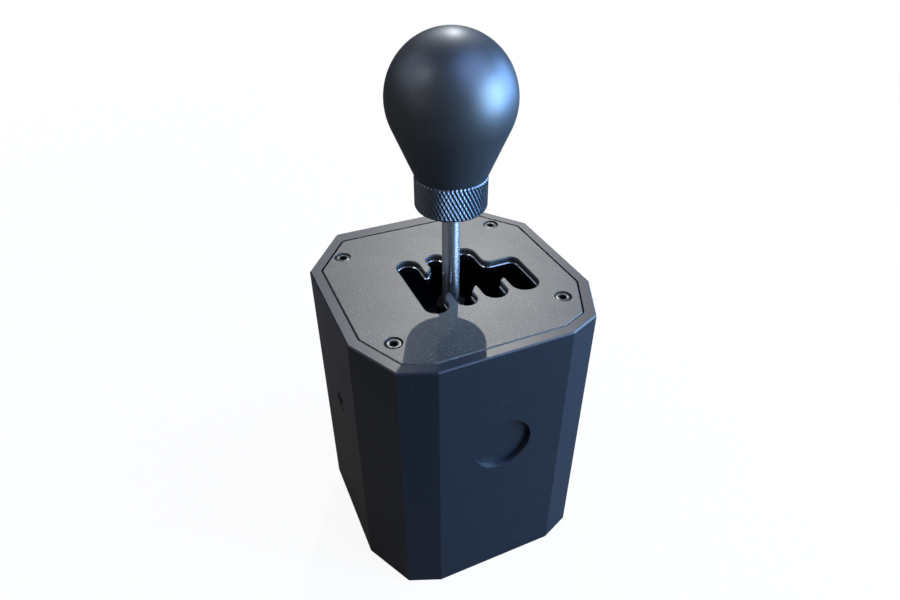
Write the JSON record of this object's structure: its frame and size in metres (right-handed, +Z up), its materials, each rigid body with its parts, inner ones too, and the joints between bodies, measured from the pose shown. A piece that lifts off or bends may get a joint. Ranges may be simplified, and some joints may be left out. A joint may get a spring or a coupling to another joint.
{
  "type": "gear shifter",
  "caption": "Free-standing gear shifter for a driving rig: faceted housing with an H-pattern gate, bare rod, knurled collar and bulb-shaped knob on a two-axis pivot.",
  "frame": {"origin": "middle of the underside of the housing", "axes": "+Z up along the lever, -Y towards the driver (front face), +X to the driver's right"},
  "size_m": [0.116, 0.1186, 0.2521],
  "materials": {
    "black_anodised": "fine bead-blasted black anodised",
    "gate_anodised": "fine bead-blasted black anodised, lit grey",
    "knob_satin": "satin black",
    "black_steel": "black oxide",
    "bare_steel": "ground and polished",
    "spring_steel": "drawn wire",
    "raw_aluminium": "machined",
    "gate_steel": "hardened and burnished",
    "black_acetal": "machined",
    "brass": "machined",
    "board_green": "solder mask",
    "chip_black": "moulded",
    "magnet_grey": "nickel plated",
    "cable_grey": "flat cable jacket"
  },
  "bodies": {
    "housing": {"housing_shell": "black_anodised", "gate_plate": "gate_anodised", "gate_plate_screws": "black_steel", "gate_guide": "gate_steel", "gate_guide_screws": "black_steel", "base_plate": "black_anodised", "base_plate_screws": "black_steel", "pivot_shaft": "bare_steel", "shaft_screws": "black_steel", "shaft_spacers": "raw_aluminium", "detent_plate": "black_acetal", "detent_pillars": "raw_aluminium", "detent_plate_screws": "black_steel", "sensor_board": "board_green", "sensor_board_spacers": "bare_steel", "hall_sensors": "chip_black", "circuit_board": "board_green", "board_standoffs": "brass", "board_screws": "black_steel", "controller_chips": "chip_black", "usb_socket": "bare_steel", "ribbon_cable": "cable_grey", "ribbon_connectors": "chip_black"},
    "cross": {"cross_block": "black_anodised", "cross_bearings": "bare_steel", "trunnion_pins": "bare_steel", "spring_anchors": "black_steel", "trunnion_circlips": "black_steel"},
    "lever": {"lever_fork": "black_anodised", "fork_bearings": "bare_steel", "centring_springs": "spring_steel", "lever_rod": "bare_steel", "rod_lock_nut": "black_steel", "knob_collar": "black_anodised", "knob_insert": "brass", "shift_knob": "knob_satin", "detent_spring": "spring_steel", "plunger_cap": "brass", "sensor_magnet": "magnet_grey"},
    "plunger": {"detent_plunger": "bare_steel"}
  },
  "joints": [
    {"name": "shift_throw", "type": "hinge", "parent": "housing", "child": "cross", "pos_m": [0, -0.002, 0.086], "axis": [1, 0, 0], "range_deg": [-17, 17]},
    {"name": "gate_select", "type": "hinge", "parent": "cross", "child": "lever", "pos_m": [0, -0.002, 0.086], "axis": [0, 1, 0], "range_deg": [-14.8, 14.8], "stiffness_Nm_per_rad": 1.5, "deforming": ["centring_springs"]},
    {"name": "detent_press", "type": "slide", "parent": "lever", "child": "plunger", "axis": [0, 0, 1], "range_m": [0, 0.0015], "stiffness_N_per_m": 1500, "springref_m": -0.004, "deforming": ["detent_spring"]}
  ]
}
